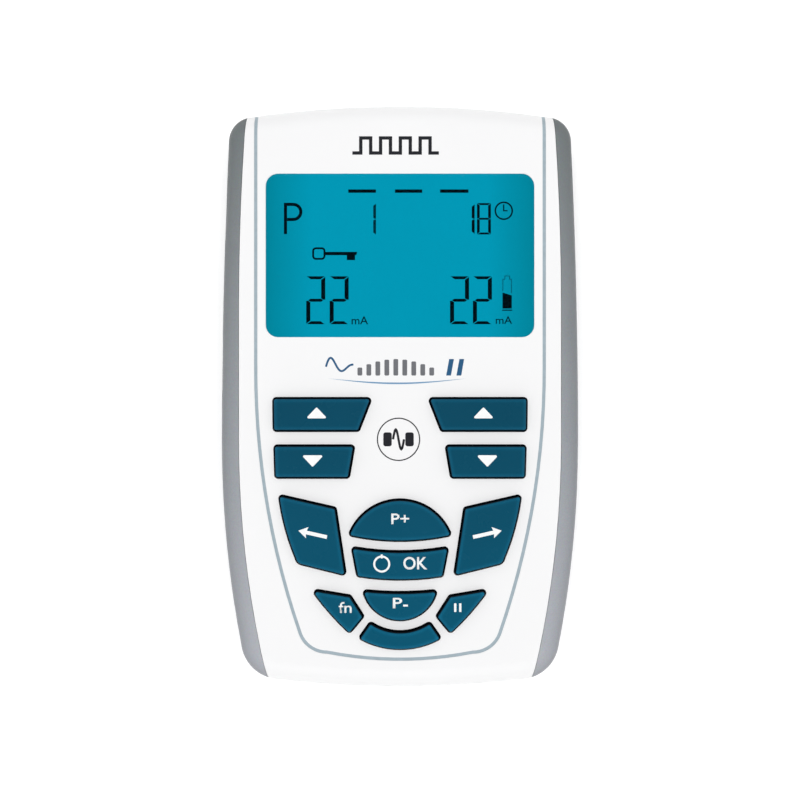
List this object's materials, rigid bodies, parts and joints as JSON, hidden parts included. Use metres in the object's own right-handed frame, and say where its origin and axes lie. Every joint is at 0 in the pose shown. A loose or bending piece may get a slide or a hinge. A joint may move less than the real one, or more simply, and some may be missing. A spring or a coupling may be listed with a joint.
{
  "type": "handheld electrotherapy stimulator",
  "caption": "White hand-held nerve and muscle stimulator with silver side grips, a teal backlit display, shaped blue keys and lead sockets in the top end.",
  "frame": {"origin": "middle of the footprint, on the surface that the back rests on", "axes": "+X to the user's right, +Y towards the socket end, +Z out of the front face"},
  "size_m": [0.0984, 0.1602, 0.0353],
  "materials": {
    "case_white": "satin",
    "grip_silver": "satin",
    "key_blue": "satin",
    "lens_clear": "polished",
    "display_teal": "gloss",
    "frame_black": "matte",
    "backlight_white": "matte",
    "silicone_grey": "matte",
    "pill_carbon": "matte",
    "board_green": "satin",
    "socket_dark": "satin",
    "screw_steel": "satin",
    "ferrite_grey": "matte",
    "winding_copper": "satin",
    "can_aluminium": "satin",
    "cell_steel": "satin",
    "sleeve_blue": "gloss",
    "wire_red": "satin",
    "wire_black": "satin"
  },
  "bodies": {
    "housing": {"backlight_panel": "backlight_white", "battery_cells": "cell_steel", "battery_connector": "frame_black", "battery_lead_black": "wire_black", "battery_lead_red": "wire_red", "battery_sleeve": "sleeve_blue", "board_screws": "screw_steel", "buzzer": "frame_black", "capacitors": "can_aluminium", "case_screws": "screw_steel", "charger_jack": "socket_dark", "display_lens": "lens_clear", "front_shell": "case_white", "keypad_mat": "silicone_grey", "lcd_frame": "frame_black", "lcd_glass": "display_teal", "lead_socket_left": "socket_dark", "lead_socket_right": "socket_dark", "left_grip": "grip_silver", "main_board": "board_green", "microcontroller": "frame_black", "output_drivers": "frame_black", "rear_shell": "case_white", "right_grip": "grip_silver", "transformer_cores": "ferrite_grey", "transformer_windings": "winding_copper", "zebra_strips": "silicone_grey"},
    "battery_cover": {"battery_cover": "case_white"},
    "key_arrow_left": {"key_arrow_left": "key_blue", "pill_arrow_left": "pill_carbon"},
    "key_arrow_right": {"key_arrow_right": "key_blue", "pill_arrow_right": "pill_carbon"},
    "key_blank": {"key_blank": "key_blue", "pill_blank": "pill_carbon"},
    "key_down_left": {"key_down_left": "key_blue", "pill_down_left": "pill_carbon"},
    "key_down_right": {"key_down_right": "key_blue", "pill_down_right": "pill_carbon"},
    "key_fn": {"key_fn": "key_blue", "pill_fn": "pill_carbon"},
    "key_ok": {"key_ok": "key_blue", "pill_ok": "pill_carbon"},
    "key_pause": {"key_pause": "key_blue", "pill_pause": "pill_carbon"},
    "key_program_minus": {"key_program_minus": "key_blue", "pill_program_minus": "pill_carbon"},
    "key_program_plus": {"key_program_plus": "key_blue", "pill_program_plus": "pill_carbon"},
    "key_up_left": {"key_up_left": "key_blue", "pill_up_left": "pill_carbon"},
    "key_up_right": {"key_up_right": "key_blue", "pill_up_right": "pill_carbon"}
  },
  "joints": [
    {"name": "battery_cover_slide", "type": "slide", "parent": "housing", "child": "battery_cover", "axis": [0, -1, 0], "range_m": [0, 0.102]},
    {"name": "press_arrow_left", "type": "slide", "parent": "housing", "child": "key_arrow_left", "axis": [0, 0, -1], "range_m": [0, 0.001], "stiffness_N_per_m": 900, "springref_m": -0.0006},
    {"name": "press_arrow_right", "type": "slide", "parent": "housing", "child": "key_arrow_right", "axis": [0, 0, -1], "range_m": [0, 0.001], "stiffness_N_per_m": 900, "springref_m": -0.0006},
    {"name": "press_blank", "type": "slide", "parent": "housing", "child": "key_blank", "axis": [0, 0, -1], "range_m": [0, 0.001], "stiffness_N_per_m": 900, "springref_m": -0.0006},
    {"name": "press_down_left", "type": "slide", "parent": "housing", "child": "key_down_left", "axis": [0, 0, -1], "range_m": [0, 0.001], "stiffness_N_per_m": 900, "springref_m": -0.0006},
    {"name": "press_down_right", "type": "slide", "parent": "housing", "child": "key_down_right", "axis": [0, 0, -1], "range_m": [0, 0.001], "stiffness_N_per_m": 900, "springref_m": -0.0006},
    {"name": "press_fn", "type": "slide", "parent": "housing", "child": "key_fn", "axis": [0, 0, -1], "range_m": [0, 0.001], "stiffness_N_per_m": 900, "springref_m": -0.0006},
    {"name": "press_ok", "type": "slide", "parent": "housing", "child": "key_ok", "axis": [0, 0, -1], "range_m": [0, 0.001], "stiffness_N_per_m": 900, "springref_m": -0.0006},
    {"name": "press_pause", "type": "slide", "parent": "housing", "child": "key_pause", "axis": [0, 0, -1], "range_m": [0, 0.001], "stiffness_N_per_m": 900, "springref_m": -0.0006},
    {"name": "press_program_minus", "type": "slide", "parent": "housing", "child": "key_program_minus", "axis": [0, 0, -1], "range_m": [0, 0.001], "stiffness_N_per_m": 900, "springref_m": -0.0006},
    {"name": "press_program_plus", "type": "slide", "parent": "housing", "child": "key_program_plus", "axis": [0, 0, -1], "range_m": [0, 0.001], "stiffness_N_per_m": 900, "springref_m": -0.0006},
    {"name": "press_up_left", "type": "slide", "parent": "housing", "child": "key_up_left", "axis": [0, 0, -1], "range_m": [0, 0.001], "stiffness_N_per_m": 900, "springref_m": -0.0006},
    {"name": "press_up_right", "type": "slide", "parent": "housing", "child": "key_up_right", "axis": [0, 0, -1], "range_m": [0, 0.001], "stiffness_N_per_m": 900, "springref_m": -0.0006}
  ]
}
